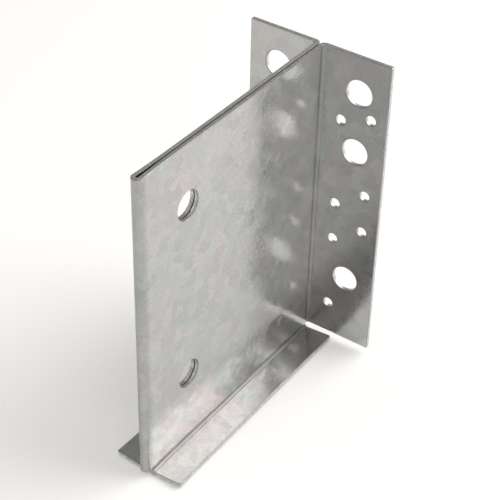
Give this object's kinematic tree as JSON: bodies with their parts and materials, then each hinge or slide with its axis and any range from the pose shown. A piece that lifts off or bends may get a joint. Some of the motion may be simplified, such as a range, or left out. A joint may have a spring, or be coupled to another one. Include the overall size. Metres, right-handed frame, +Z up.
{
  "type": "joist hanger",
  "caption": "Concealed T-shaped joist hanger folded from one galvanised steel sheet, with a drilled header, a doubled web and a turned-out seat.",
  "frame": {"origin": "centre of the part's plan, at the level of its underside", "axes": "+Z up, +Y towards the header, which bears on the carrying beam, +X to the right across the header"},
  "size_m": [0.072, 0.1294, 0.1589],
  "materials": {
    "galvanised_steel": "hot-dip galvanised, mottled spangle, semi-gloss"
  },
  "bodies": {
    "root": {"hanger": "galvanised_steel"}
  },
  "joints": []
}
